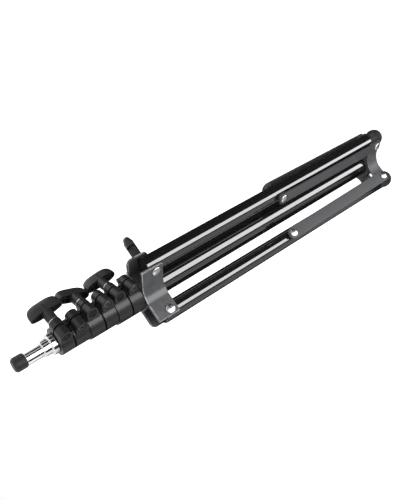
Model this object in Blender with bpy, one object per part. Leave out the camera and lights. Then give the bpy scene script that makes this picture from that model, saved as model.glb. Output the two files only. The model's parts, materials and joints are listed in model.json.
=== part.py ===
"""Folding light stand, standing folded on end.

The column stands on +Z with the centre of its foot plug at the origin, and leg 1
lies over +X. A yoke slides on the base tube and carries three legs. A fixed bracket
at the column's foot carries three pairs of braces, which meet the legs halfway, so
that each leg's upper part and its brace form two equal sides of a triangle.
"""

import math

import bmesh
import bpy
from mathutils import Matrix, Vector

# Clearance left between pieces that touch, and a length past any piece for drills and saws
GAP = 0.0003
REACH = 0.05

# Broken edge on turned pieces
EDGE = 0.0008

# Column tubes, each sliding in the one before it
BASE_RADIUS = 0.016
RISER_RADII = (0.014, 0.012, 0.010)
COLUMN_WALL = 0.0013
RISER_FEET = (0.024, 0.044, 0.064)
BUSH_FLANGE = 0.0040
BUSH_STEM = 0.0100
BUSH_WALL = 0.0018

# Folding base: three legs 120 degrees apart, their upper part and the brace being equal
LEG_TURNS = (0.0, math.radians(120), math.radians(240))
PIVOT_RADIUS = 0.0378
LINK = 0.224
REST_SPREAD = math.radians(0.4)
BRACKET_PIVOT_Z = 0.0105
YOKE_PIVOT_Z = BRACKET_PIVOT_Z + 2 * LINK * math.cos(REST_SPREAD)

# Legs
LEG_RADIUS = 0.0113
LEG_WALL = 0.0012
LEG_ABOVE_PIVOT = 0.007
LEG_END_ABOVE_BRACKET = 0.0075
LEG_LENGTH = LEG_ABOVE_PIVOT + 2 * LINK - LEG_END_ABOVE_BRACKET
LEG_PLUG_BELOW_PIVOT = 0.018
FOOT_RADIUS = 0.0116
FOOT_BELOW_BRACKET = 0.025
FOOT_STEM = 0.014
FOOT_FLARE_RADIUS = 0.0132
FOOT_FLARE_BELOW_BRACKET = 0.0112

# The two castings' forks: a slot for the leg between two cheeks, joined by hollow walls
SLOT_HALF = 0.0120
YOKE_HALF_WIDTH = 0.0154
BRACKET_HALF_WIDTH = 0.0146
FORK_RADIUS = 0.0452
SLOT_FLOOR = 0.0212
WALL_NEAREST = 0.0206
YOKE_BELOW_PIVOT = 0.010
YOKE_ABOVE_PIVOT = 0.021
BRACKET_BELOW_PIVOT = 0.0098
BRACKET_ABOVE_PIVOT = 0.0155
CHEEK_CORNER = 0.0075
SQUARE_CORNER = 0.0012

# Flat braces, one on each side of a leg
BRACE_HALF_WIDTH = 0.0086
BRACE_THICKNESS = 0.0020
BRACE_INNER = BRACKET_HALF_WIDTH + GAP
BRACE_PAD_RADIUS = 0.0078

# Rivets
RIVET_SHANK = 0.0028
RIVET_HOLE = RIVET_SHANK + GAP
RIVET_HEAD_RADIUS = 0.0062
RIVET_HEAD_HEIGHT = 0.0024

# Collars, stacked above the yoke: their foot, outer radius, cross slit and lug turn
COLLAR_PITCH = 0.0369
COLLAR_HEIGHT = COLLAR_PITCH - GAP
BASE_COLLAR_Z = YOKE_PIVOT_Z + YOKE_ABOVE_PIVOT + 0.0006
COLLAR_RADII = (0.0204, 0.0187, 0.0170)
COLLAR_SLITS = (0.0175, 0.0177, 0.0200)
COLLAR_TURNS = (math.radians(8), math.radians(8), math.radians(-8))
SLIT_WIDTH = 0.0016
LUG_RADII = (0.0222, 0.0213, 0.0195)
LUG_HEAD_END = 0.0138
LUG_HANDLE_END = 0.0102
SCREW_HEIGHTS = (0.0074, 0.0080, 0.0092)
CLAMP_HEIGHTS = (0.0275, 0.0280, 0.0290)
LUG_ROUND = 0.0074
SPLIT_WIDTH = 0.0018
BOLT_SHANK = 0.0027
BOLT_HEAD_RADIUS = 0.0046
BOLT_HEAD_DEPTH = 0.0030
BOLT_HEAD_HEIGHT = 0.0025
SOCKET_RADIUS = 0.0024
NUT_RADIUS = 0.0052
NUT_DEPTH = 0.0034

# T-handles: a hollow bar-shaped crown on a round stem
KNOB_HALF_LENGTH = 0.0202
KNOB_HALF_WIDTH = 0.0076
KNOB_TIP_RADIUS = 0.0023
KNOB_STEM_RADIUS = 0.0065
KNOB_RIM = 0.0142
KNOB_HEIGHT = 0.0292
KNOB_SAG = 0.0045
KNOB_HOLLOW = 0.0080
KNOB_WALL = 0.0017
KNOB_SCREW_DEPTH = 0.0092
WASHER_RADIUS = 0.0070
WASHER_THICKNESS = 0.0011
KNOB_TURNS = (math.radians(-8), math.radians(19), math.radians(-8))

# The yoke's lock, a T-handle on a radial boss between legs 1 and 2
LOCK_TURN = math.radians(60)
LOCK_Z = YOKE_PIVOT_Z - 0.0100
LOCK_BOSS_RADIUS = 0.0080
LOCK_BOSS_END = 0.0380
LOCK_SHANK = 0.0031
LOCK_HOLE = LOCK_SHANK + GAP
LOCK_KNOB_TURN = math.radians(-25)

# Spigot and cap
SPIGOT_Z = BASE_COLLAR_Z + 3 * COLLAR_PITCH
FLANGE_RADIUS = 0.0127
FLANGE_HEIGHT = 0.0068
SHOULDER_RADIUS = 0.0096
SHOULDER_HEIGHT = 0.0092
STUD_RADIUS = 0.0080
STUD_HEIGHT = 0.0200
TIP_RADIUS = 0.0046
TIP_HEIGHT = 0.0095
SPIGOT_STEM = 0.022
CAP_RADIUS = 0.0087
CAP_HEIGHT = 0.0138
CAP_RIBS = 12

# Foot plug of the column
PLUG_FLANGE = 0.0022
PLUG_TOP = 0.0120
PLUG_WALL = 0.0020

ROUND = 24
LEG_ROUND = 20
SMALL_ROUND = 10


def clear_scene():
    for item in list(bpy.data.objects):
        bpy.data.objects.remove(item, do_unlink=True)


def paint(name, color, roughness, metallic=0.0):
    material = bpy.data.materials.new(name)
    material.use_nodes = True
    shader = material.node_tree.nodes["Principled BSDF"]
    shader.inputs["Base Color"].default_value = (*color, 1.0)
    shader.inputs["Roughness"].default_value = roughness
    shader.inputs["Metallic"].default_value = metallic
    return material


def add_object(name, bm, material, place=Matrix.Identity(4)):
    """Makes an object from a bmesh, with its origin and turn given by place."""
    bmesh.ops.recalc_face_normals(bm, faces=bm.faces)
    mesh = bpy.data.meshes.new(name)
    bm.to_mesh(mesh)
    bm.free()
    if material:
        mesh.materials.append(material)
    mesh.shade_smooth()
    mesh.set_sharp_from_angle(angle=math.radians(32))
    item = bpy.data.objects.new(name, mesh)
    bpy.context.collection.objects.link(item)
    item.matrix_world = place
    return item


def turned(profile, segments, closed=False):
    """Spins (radius, height) points about Z; a closed profile makes a hollow ring."""
    bm = bmesh.new()
    points = [bm.verts.new((radius, 0, height)) for radius, height in profile]
    edges = [bm.edges.new(pair) for pair in zip(points, points[1:])]
    if closed:
        edges.append(bm.edges.new((points[-1], points[0])))
    bmesh.ops.spin(
        bm, geom=points + edges, axis=(0, 0, 1), cent=(0, 0, 0), steps=segments, angle=math.tau
    )
    bmesh.ops.remove_doubles(bm, verts=bm.verts, dist=1e-6)
    return bm


def tube(outer, inner, low, high, segments=ROUND):
    profile = [(outer, high), (outer, low), (inner, low), (inner, high)]
    return turned(profile, segments, closed=True)


def rod(radius, low, high, segments=SMALL_ROUND):
    return turned([(0, high), (radius, high), (radius, low), (0, low)], segments)


def extruded(outline, low, high):
    """Extrudes an outline of (x, y) points from z = low to z = high."""
    bm = bmesh.new()
    face = bm.faces.new([bm.verts.new((x, y, low)) for x, y in outline])
    lifted = bmesh.ops.extrude_face_region(bm, geom=[face])["geom"]
    moved = [part for part in lifted if isinstance(part, bmesh.types.BMVert)]
    bmesh.ops.translate(bm, verts=moved, vec=(0, 0, high - low))
    return bm


def box(low, high):
    """A box between two opposite corners."""
    outline = [(low[0], low[1]), (high[0], low[1]), (high[0], high[1]), (low[0], high[1])]
    return extruded(outline, low[2], high[2])


def arc(centre, radius, start, end, steps):
    """Points on an arc from start to end, both included."""
    angles = [start + (end - start) * step / steps for step in range(steps + 1)]
    return [(centre[0] + radius * math.cos(a), centre[1] + radius * math.sin(a)) for a in angles]


def along(axis, centre):
    """A placement whose own +Z lies along axis, standing at centre."""
    turn = Vector(axis).to_track_quat("Z", "Y").to_matrix().to_4x4()
    return Matrix.Translation(centre) @ turn


def joined(item, others, operation, solver):
    """Applies Boolean operations to item with each bmesh in others, given with its placement."""
    for bm, place in others:
        cutter = add_object("cutter", bm, None, place)
        modifier = item.modifiers.new(operation.lower(), "BOOLEAN")
        modifier.object = cutter
        modifier.operation = operation
        modifier.solver = solver
        bpy.context.view_layer.update()
        evaluated = item.evaluated_get(bpy.context.evaluated_depsgraph_get())
        mesh = bpy.data.meshes.new_from_object(evaluated)
        item.modifiers.clear()
        item.data = mesh
        bpy.data.objects.remove(cutter, do_unlink=True)
    item.data.set_sharp_from_angle(angle=math.radians(32))
    return item


def cut(item, others, solver="EXACT"):
    return joined(item, others, "DIFFERENCE", solver)


def fuse(item, others, solver="EXACT"):
    return joined(item, others, "UNION", solver)


def radial(turn, radius, height=0.0):
    return Vector((radius * math.cos(turn), radius * math.sin(turn), height))


def sideways(turn):
    """The unit vector square to a radius, anticlockwise seen from above."""
    return Vector((-math.sin(turn), math.cos(turn), 0))


def leg_frame(turn, height, tilt):
    """A placement on a leg's pivot: its own X points outward, and +Z along the leg, tilted out."""
    return (
        Matrix.Translation(radial(turn, PIVOT_RADIUS, height))
        @ Matrix.Rotation(turn, 4, "Z")
        @ Matrix.Rotation(tilt, 4, "Y")
    )


def cross_drill(place, height):
    """A drill for a rivet, along a leg's or brace's own Y at a height on it."""
    line = place @ Matrix.Translation((0, 0, height)) @ Matrix.Rotation(math.radians(90), 4, "X")
    return rod(RIVET_HOLE, -REACH, REACH), line


clear_scene()

gloss_black = paint("gloss_black", (0.012, 0.012, 0.013), 0.12)
satin_casting = paint("satin_casting", (0.055, 0.056, 0.060), 0.38)
matt_plastic = paint("matt_plastic", (0.020, 0.020, 0.021), 0.50)
brace_paint = paint("brace_paint", (0.045, 0.046, 0.048), 0.30)
rubber = paint("rubber", (0.030, 0.030, 0.031), 0.70)
bright_steel = paint("bright_steel", (0.72, 0.72, 0.74), 0.16, 1.0)
dark_steel = paint("dark_steel", (0.10, 0.10, 0.11), 0.35, 1.0)
pale_nylon = paint("pale_nylon", (0.55, 0.55, 0.52), 0.45)

# Column: the base tube ends at the base collar's cross slit, each riser at the next one's
base_top = BASE_COLLAR_Z + COLLAR_SLITS[0] - SLIT_WIDTH / 2
base_foot = PLUG_FLANGE + GAP
add_object(
    "base_tube",
    tube(BASE_RADIUS, BASE_RADIUS - COLUMN_WALL, base_foot, base_top),
    gloss_black,
)

riser_tops = (
    BASE_COLLAR_Z + COLLAR_PITCH + COLLAR_SLITS[1] - SLIT_WIDTH / 2,
    BASE_COLLAR_Z + 2 * COLLAR_PITCH + COLLAR_SLITS[2] - SLIT_WIDTH / 2,
    SPIGOT_Z - GAP,
)
outer_radii = (BASE_RADIUS,) + RISER_RADII[:2]
for number, (radius, foot, top) in enumerate(zip(RISER_RADII, RISER_FEET, riser_tops), 1):
    add_object(
        f"riser_{number}",
        tube(radius, radius - COLUMN_WALL, 0, top - foot),
        gloss_black,
        Matrix.Translation((0, 0, foot)),
    )
    # The bush's flange runs in the tube outside, under the riser's foot; its stem is up the riser
    flange = outer_radii[number - 1] - COLUMN_WALL - GAP
    plugged = radius - COLUMN_WALL - GAP
    bush_profile = [
        (plugged - BUSH_WALL, BUSH_STEM),
        (plugged, BUSH_STEM),
        (plugged, -GAP),
        (flange, -GAP),
        (flange, -BUSH_FLANGE),
        (plugged - BUSH_WALL, -BUSH_FLANGE),
    ]
    add_object(
        f"bush_{number}",
        turned(bush_profile, ROUND, closed=True),
        pale_nylon,
        Matrix.Translation((0, 0, foot)),
    )

# Foot plug: a flange under the tube and a hollow stem inside it
stem = BASE_RADIUS - COLUMN_WALL - GAP
plug_profile = [
    (0, 0),
    (BASE_RADIUS - EDGE, 0),
    (BASE_RADIUS, EDGE),
    (BASE_RADIUS, PLUG_FLANGE),
    (stem, PLUG_FLANGE),
    (stem, PLUG_TOP),
    (stem - PLUG_WALL, PLUG_TOP),
    (stem - PLUG_WALL, PLUG_FLANGE),
    (0, PLUG_FLANGE),
]
add_object("column_plug", turned(plug_profile[::-1], ROUND), matt_plastic)


def casting_outline(half_width):
    """Plan of a three-cornered casting: a fork over each leg, with hollow walls between."""
    # The hollow wall is tangent to both cheeks it joins and comes within WALL_NEAREST
    sixty = math.radians(60)
    reach = (WALL_NEAREST - half_width) / (1 - math.sin(sixty))
    hollow = reach - WALL_NEAREST
    points = []
    for turn in LEG_TURNS:
        out = Vector((math.cos(turn), math.sin(turn)))
        side = Vector((-math.sin(turn), math.cos(turn)))
        fork = [
            (FORK_RADIUS, -half_width),
            (FORK_RADIUS, -SLOT_HALF),
            (SLOT_FLOOR, -SLOT_HALF),
            (SLOT_FLOOR, SLOT_HALF),
            (FORK_RADIUS, SLOT_HALF),
            (FORK_RADIUS, half_width),
        ]
        points += [tuple(out * forward + side * across) for forward, across in fork]
        middle = turn + sixty
        centre = (reach * math.cos(middle), reach * math.sin(middle))
        facing = middle + math.pi
        spread = math.radians(30)
        points += arc(centre, hollow, facing + spread, facing - spread, 8)
    return points


def round_cheeks(bm, height, square_faces):
    """Rounds each cheek's outer corner at the given height, or nearly squares the front wall's."""
    rounded, squared = [], []
    for edge in bm.edges:
        ends = [vert.co for vert in edge.verts]
        if any(abs(end.z - height) > 1e-6 for end in ends):
            continue
        middle = (ends[0] + ends[1]) / 2
        for index, turn in enumerate(LEG_TURNS):
            out = middle.dot(radial(turn, 1))
            across = middle.dot(sideways(turn))
            tip = abs(out - FORK_RADIUS) < 1e-5 and edge.calc_length() < 0.005
            if tip and abs(across) > SLOT_HALF:
                front = (index, across > 0) in square_faces
                (squared if front else rounded).append(edge)
    for edges, radius, steps in ((rounded, CHEEK_CORNER, 4), (squared, SQUARE_CORNER, 1)):
        live = [edge for edge in edges if edge.is_valid]
        bmesh.ops.bevel(
            bm, geom=live, offset=radius, offset_type="OFFSET", segments=steps, profile=0.5, affect="EDGES"
        )


# The wall between legs 1 and 3 has square corners: cheek -Y of leg 1 and cheek +Y of leg 3
FRONT_CHEEKS = {(0, False), (2, True)}


def casting(name, half_width, low, high, both_ends):
    """A casting with its forks, cheek corners, bore and rivet holes; low and high from the pivots."""
    bm = extruded(casting_outline(half_width), low, high)
    round_cheeks(bm, high, FRONT_CHEEKS)
    if both_ends:
        round_cheeks(bm, low, FRONT_CHEEKS)
    return add_object(name, bm, satin_casting)


def rivet_holes(pivot_z):
    return [
        (rod(RIVET_HOLE, -REACH, REACH), along(sideways(turn), radial(turn, PIVOT_RADIUS, pivot_z)))
        for turn in LEG_TURNS
    ]


def rivet_half(seat, start):
    """Profile of a rivet's half: its shank from start, and a domed head above seat."""
    return [
        (RIVET_SHANK, start),
        (RIVET_SHANK, seat),
        (RIVET_HEAD_RADIUS, seat),
        (RIVET_HEAD_RADIUS, seat + 0.3 * RIVET_HEAD_HEIGHT),
        (0.72 * RIVET_HEAD_RADIUS, seat + 0.82 * RIVET_HEAD_HEIGHT),
        (0, seat + RIVET_HEAD_HEIGHT),
    ]


def through_rivet(name, pivot, turn, face):
    """A rivet right through a fork, with a head beyond face on both sides."""
    half = rivet_half(face + GAP, 0)[1:]
    mirrored = [(radius, -height) for radius, height in half]
    bm = turned(half[::-1] + mirrored, SMALL_ROUND)
    return add_object(name, bm, bright_steel, along(sideways(turn), pivot))


def cheek_rivet(name, pivot, outward, start, face):
    """A short rivet through one cheek, flush at start and with its head beyond face."""
    profile = rivet_half(face + GAP, start)[::-1] + [(0, start)]
    return add_object(name, turned(profile, SMALL_ROUND), bright_steel, along(outward, pivot))


# Yoke, with the boss for its lock between legs 1 and 2
yoke = casting("yoke", YOKE_HALF_WIDTH, -YOKE_BELOW_PIVOT, YOKE_ABOVE_PIVOT, True)
yoke.location.z = YOKE_PIVOT_Z
lock_axis = radial(LOCK_TURN, 1)
lock_start = radial(LOCK_TURN, 0, LOCK_Z)
# The boss starts inside the bore's line, and the bore then trims it
boss_start = BASE_RADIUS - 0.0033
boss = turned(
    [
        (0, LOCK_BOSS_END),
        (LOCK_BOSS_RADIUS - EDGE, LOCK_BOSS_END),
        (LOCK_BOSS_RADIUS, LOCK_BOSS_END - EDGE),
        (LOCK_BOSS_RADIUS, boss_start),
        (0, boss_start),
    ],
    ROUND,
)
fuse(yoke, [(boss, along(lock_axis, lock_start))], "MANIFOLD")
bore_radius = BASE_RADIUS + GAP
yoke_bore = rod(bore_radius, -REACH, REACH, ROUND)
lock_drill = rod(LOCK_HOLE, BASE_RADIUS / 2, LOCK_BOSS_END + REACH)
cut(
    yoke,
    [
        (yoke_bore, Matrix.Translation((0, 0, YOKE_PIVOT_Z))),
        (lock_drill, along(lock_axis, lock_start)),
    ]
    + rivet_holes(YOKE_PIVOT_Z),
    "MANIFOLD",
)

# Bracket: a shorter casting of the same plan, pinned round the foot of the base tube
bracket = casting("bracket", BRACKET_HALF_WIDTH, -BRACKET_BELOW_PIVOT, BRACKET_ABOVE_PIVOT, False)
bracket.location.z = BRACKET_PIVOT_Z
tube_bore = rod(bore_radius, -REACH, REACH, ROUND)
cut(bracket, [(tube_bore, Matrix.Identity(4))] + rivet_holes(BRACKET_PIVOT_Z), "MANIFOLD")

# Legs, braces and their rivets, for each leg in turn
for number, turn in enumerate(LEG_TURNS, 1):
    yoke_pivot = radial(turn, PIVOT_RADIUS, YOKE_PIVOT_Z)
    leg_place = leg_frame(turn, YOKE_PIVOT_Z, -REST_SPREAD)
    foot_z = LEG_ABOVE_PIVOT - LEG_LENGTH
    leg = add_object(
        f"leg_tube_{number}",
        tube(LEG_RADIUS, LEG_RADIUS - LEG_WALL, foot_z, LEG_ABOVE_PIVOT, LEG_ROUND),
        gloss_black,
        leg_place,
    )
    cut(leg, [cross_drill(leg_place, 0), cross_drill(leg_place, -LINK)])

    # A plug a little below the tube's upper rim
    inside = LEG_RADIUS - LEG_WALL - GAP
    plug = add_object(
        f"leg_plug_{number}",
        rod(inside, -LEG_PLUG_BELOW_PIVOT, LEG_ABOVE_PIVOT - EDGE, LEG_ROUND),
        matt_plastic,
        leg_place,
    )
    cut(plug, [cross_drill(leg_place, 0)])

    # The foot's body is as wide as the tube, with a stem inside it and a rounded end
    end = -2 * LINK - FOOT_BELOW_BRACKET
    flare_z = -2 * LINK - FOOT_FLARE_BELOW_BRACKET
    foot_profile = [
        (0, foot_z + FOOT_STEM),
        (inside, foot_z + FOOT_STEM),
        (inside, foot_z - GAP),
        (FOOT_RADIUS, foot_z - GAP),
        (FOOT_RADIUS, flare_z),
        (FOOT_FLARE_RADIUS - EDGE, flare_z),
        (FOOT_FLARE_RADIUS, flare_z - EDGE),
        (FOOT_FLARE_RADIUS, end + 0.011),
        (0.93 * FOOT_FLARE_RADIUS, end + 0.006),
        (0.74 * FOOT_FLARE_RADIUS, end + 0.002),
        (0.46 * FOOT_FLARE_RADIUS, end),
        (0, end),
    ]
    add_object(f"foot_{number}", turned(foot_profile, LEG_ROUND), rubber, leg_place)
    through_rivet(f"yoke_rivet_{number}", yoke_pivot, turn, YOKE_HALF_WIDTH)

    brace_place = leg_frame(turn, BRACKET_PIVOT_Z, REST_SPREAD)
    elbow = leg_place @ Vector((0, 0, -LINK))
    for name, side in (("right", -1), ("left", 1)):
        # A flat bar with full round ends, and a pressed pad that reaches the leg
        outline = arc((0, 0), BRACE_HALF_WIDTH, math.pi, math.tau, 12)
        outline += arc((0, LINK), BRACE_HALF_WIDTH, 0, math.pi, 12)
        near, far = BRACE_INNER, BRACE_INNER + BRACE_THICKNESS
        bar = extruded(outline, near, far)
        # The outline's x is outward and its y runs up the brace
        lay = Matrix(((1, 0, 0, 0), (0, 0, side, 0), (0, 1, 0, 0), (0, 0, 0, 1)))
        bmesh.ops.transform(bar, matrix=lay, verts=bar.verts)
        brace = add_object(f"brace_{number}_{name}", bar, brace_paint, brace_place)
        pad_low, pad_high = LEG_RADIUS + GAP, near + BRACE_THICKNESS / 4
        pad_profile = [
            (0, pad_high),
            (BRACE_PAD_RADIUS, pad_high),
            (BRACE_PAD_RADIUS - EDGE, pad_low),
            (0, pad_low),
        ]
        pad_place = brace_place @ along((0, side, 0), (0, 0, LINK))
        fuse(brace, [(turned(pad_profile, 16), pad_place)])
        cut(brace, [cross_drill(brace_place, 0), cross_drill(brace_place, LINK)])
        # The leg lies in the bracket's fork, so each cheek has a short rivet of its own
        cheek_rivet(
            f"bracket_rivet_{number}_{name}",
            radial(turn, PIVOT_RADIUS, BRACKET_PIVOT_Z),
            sideways(turn) * side,
            SLOT_HALF + GAP,
            BRACE_INNER + BRACE_THICKNESS,
        )
    through_rivet(f"leg_rivet_{number}", elbow, turn, BRACE_INNER + BRACE_THICKNESS)


def lug_block(lug_radius, low, high):
    """A lug: a block from inside the collar out to the bolt, rounded about the bolt's line."""
    middle = (low + high) / 2
    half = (high - low) / 2
    root = 0.3 * lug_radius
    outline = [(root, low), (lug_radius, low)]
    outline += arc((lug_radius, middle), half, math.radians(-75), math.radians(75), 8)
    outline += [(lug_radius, high), (root, high)]
    bm = extruded(outline, -LUG_HANDLE_END, LUG_HEAD_END)
    # The outline's y becomes height, and the extrusion runs along -Y
    lay = Matrix(((1, 0, 0, 0), (0, 0, -1, 0), (0, 1, 0, 0), (0, 0, 0, 1)))
    bmesh.ops.transform(bm, matrix=lay, verts=bm.verts)
    return bm


def screw_line(place, lug_radius, height):
    """A placement on a lug's bolt line, its own +Z running toward the T-handle's side."""
    bolt = Matrix.Translation((lug_radius, 0, height))
    return place @ bolt @ Matrix.Rotation(math.radians(-90), 4, "X")


def collar(name, foot, radius, slit, turn, lower_bore, upper_bore, lug_radius, heights):
    """One collar casting, its lugs at the heights of its fixing screw and its clamp bolt."""
    rim = 1.6 * EDGE
    body = turned(
        [
            (0, COLLAR_HEIGHT),
            (radius - rim, COLLAR_HEIGHT),
            (radius, COLLAR_HEIGHT - rim),
            (radius, EDGE),
            (radius - EDGE, 0),
            (0, 0),
        ],
        ROUND,
    )
    place = Matrix.Translation((0, 0, foot)) @ Matrix.Rotation(turn, 4, "Z")
    item = add_object(name, body, matt_plastic, place)
    for height in heights:
        lug = lug_block(lug_radius, height - LUG_ROUND, height + LUG_ROUND)
        fuse(item, [(lug, place)], "MANIFOLD")
    bore_profile = [
        (0, REACH),
        (upper_bore, REACH),
        (upper_bore, slit),
        (lower_bore, slit),
        (lower_bore, -REACH),
        (0, -REACH),
    ]
    # Lengthwise split through the lugs, and a cross slit that leaves a bridge behind
    split = box((upper_bore / 2, -SPLIT_WIDTH / 2, -REACH), (REACH, SPLIT_WIDTH / 2, REACH))
    slit_low, slit_high = slit - SLIT_WIDTH / 2, slit + SLIT_WIDTH / 2
    cross = box((-0.55 * radius, -REACH, slit_low), (REACH, REACH, slit_high))
    cuts = [(turned(bore_profile, ROUND), place), (split, place), (cross, place)]
    # Bolt heads sit in round pockets on the -Y side, the nut in a six-sided one opposite
    head_seat = LUG_HEAD_END - BOLT_HEAD_DEPTH
    nut_seat = LUG_HANDLE_END - NUT_DEPTH
    for height in heights:
        line = screw_line(place, lug_radius, height)
        cuts.append((rod(BOLT_SHANK + GAP, -REACH, REACH), line))
        cuts.append((rod(BOLT_HEAD_RADIUS + GAP, -REACH, -head_seat), line))
    cuts.append((rod(NUT_RADIUS + GAP, nut_seat, REACH, 6), screw_line(place, lug_radius, heights[0])))
    # A round seat for the washer, sunk a little in the collar's side
    washer_seat = rod(WASHER_RADIUS + GAP, LUG_HANDLE_END, REACH, 16)
    cuts.append((washer_seat, screw_line(place, lug_radius, heights[1])))
    cut(item, cuts, "MANIFOLD")
    return place


def lozenge(inset, flank=4, tip=6, middle=4):
    """Plan of a crown: a circle at its middle drawn out along X to a small one at each tip."""
    wide = KNOB_HALF_WIDTH - inset
    narrow = KNOB_TIP_RADIUS - inset
    reach = KNOB_HALF_LENGTH - KNOB_TIP_RADIUS
    lean = math.asin((wide - narrow) / reach)
    square = math.pi / 2
    half = arc((reach, 0), narrow, lean - square, square - lean, tip)
    half += arc((0, 0), wide, square - lean, square + lean, middle)
    points = half + [(-x, -y) for x, y in half]
    # The long flanks take more points, so that the arched top can bend along them
    outline = []
    for index, (x, y) in enumerate(points):
        after = points[(index + 1) % len(points)]
        steps = flank if abs(after[0] - x) > 0.3 * reach else 1
        for share in (step / steps for step in range(steps)):
            outline.append((x + (after[0] - x) * share, y + (after[1] - y) * share))
    return outline


def arched(point, height):
    """A point of the crown's outline lowered toward the tips, more so the nearer it is to the top."""
    lift = (height - KNOB_RIM) / (KNOB_HEIGHT - KNOB_RIM)
    return (*point, height - KNOB_SAG * lift * (point[0] / KNOB_HALF_LENGTH) ** 2)


def t_handle(name, place, screw_bore):
    """A lozenge-shaped crown on a round stem, arched on top, hollow below, long along its own X."""
    # Rings of the crown: underside rim, side, shoulder and top, as inset and height
    rings = [
        (0.0006, KNOB_RIM),
        (0.0, KNOB_RIM + 0.0012),
        (0.0002, KNOB_HEIGHT - 0.0045),
        (0.0010, KNOB_HEIGHT - 0.0016),
        (0.0021, KNOB_HEIGHT - 0.0003),
    ]
    bm = bmesh.new()
    loops = [[bm.verts.new(arched(point, z)) for point in lozenge(inset)] for inset, z in rings]
    hollow_rings = [(KNOB_WALL, KNOB_RIM), (KNOB_WALL + 0.0003, KNOB_RIM + KNOB_HOLLOW)]
    inner = [[bm.verts.new((x, y, z)) for x, y in lozenge(inset)] for inset, z in hollow_rings]
    for first, second in list(zip(loops, loops[1:])) + [(inner[0], loops[0]), (inner[1], inner[0])]:
        for index in range(len(first)):
            after = (index + 1) % len(first)
            bm.faces.new((first[index], first[after], second[after], second[index]))
    bm.faces.new(inner[-1][::-1])
    # Strips across the top, each between two points of one flank and the two opposite
    top = loops[-1]
    quarter = len(top) // 2
    for index in range(quarter):
        across = -index % len(top)
        before = (across - 1) % len(top)
        corners = dict.fromkeys((top[index], top[index + 1], top[before], top[across]))
        if len(corners) > 2:
            bm.faces.new(list(corners))
    bmesh.ops.triangulate(bm, faces=[face for face in bm.faces if len(face.verts) < 10])
    item = add_object(name, bm, matt_plastic, place)
    stem_top = KNOB_RIM + KNOB_HOLLOW + 0.0010
    stem_profile = [
        (0, stem_top),
        (KNOB_STEM_RADIUS, stem_top),
        (KNOB_STEM_RADIUS, EDGE),
        (KNOB_STEM_RADIUS - EDGE, 0),
        (0, 0),
    ]
    fuse(item, [(turned(stem_profile, 14), place)])
    cut(item, [(rod(screw_bore, -REACH, KNOB_SCREW_DEPTH + 2 * EDGE), place)])


# Collars with their bolts, screws, nuts, washers and T-handles
column_radii = (BASE_RADIUS, *RISER_RADII)
for index, label in enumerate(("base", "middle", "top")):
    lug_radius = LUG_RADII[index]
    screw_height, clamp_height = SCREW_HEIGHTS[index], CLAMP_HEIGHTS[index]
    place = collar(
        f"{label}_collar",
        BASE_COLLAR_Z + index * COLLAR_PITCH,
        COLLAR_RADII[index],
        COLLAR_SLITS[index],
        COLLAR_TURNS[index],
        column_radii[index] + GAP,
        column_radii[index + 1] + GAP,
        lug_radius,
        (screw_height, clamp_height),
    )
    head_seat = BOLT_HEAD_DEPTH - LUG_HEAD_END - GAP
    head_face = head_seat - BOLT_HEAD_HEIGHT

    # The clamp bolt runs through both lugs and up into the T-handle
    line = screw_line(place, lug_radius, clamp_height)
    washer_low = LUG_HANDLE_END + GAP
    washer_high = washer_low + WASHER_THICKNESS
    bolt_end = washer_high + KNOB_SCREW_DEPTH
    bolt_profile = [
        (0, bolt_end),
        (BOLT_SHANK, bolt_end),
        (BOLT_SHANK, head_seat),
        (BOLT_HEAD_RADIUS, head_seat),
        (BOLT_HEAD_RADIUS, head_face + EDGE),
        (0.6 * BOLT_HEAD_RADIUS, head_face),
        (0, head_face),
    ]
    add_object(f"{label}_clamp_bolt", turned(bolt_profile, SMALL_ROUND), dark_steel, line)
    washer = tube(WASHER_RADIUS, BOLT_SHANK + GAP, washer_low, washer_high, 16)
    add_object(f"{label}_washer", washer, bright_steel, line)
    knob_place = (
        line
        @ Matrix.Translation((0, 0, washer_high + GAP))
        @ Matrix.Rotation(math.radians(90) + KNOB_TURNS[index], 4, "Z")
    )
    t_handle(f"{label}_knob", knob_place, BOLT_SHANK + GAP)

    # The fixing screw has a socket head on one side and a nut in the other lug
    line = screw_line(place, lug_radius, screw_height)
    nut_low = LUG_HANDLE_END - NUT_DEPTH + GAP
    nut_high = LUG_HANDLE_END - GAP
    screw_profile = [
        (0, nut_high),
        (BOLT_SHANK, nut_high),
        (BOLT_SHANK, head_seat),
        (BOLT_HEAD_RADIUS, head_seat),
        (BOLT_HEAD_RADIUS, head_face),
        (0, head_face),
    ]
    screw = turned(screw_profile, SMALL_ROUND)
    fixing = add_object(f"{label}_fixing_screw", screw, bright_steel, line)
    cut(fixing, [(rod(SOCKET_RADIUS, -REACH, head_seat - EDGE, 6), line)])
    hexagon = rod(NUT_RADIUS - GAP, nut_low, nut_high, 6)
    nut = add_object(f"{label}_fixing_nut", hexagon, dark_steel, line)
    cut(nut, [(rod(BOLT_SHANK + GAP, 0, REACH), line)])

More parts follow.
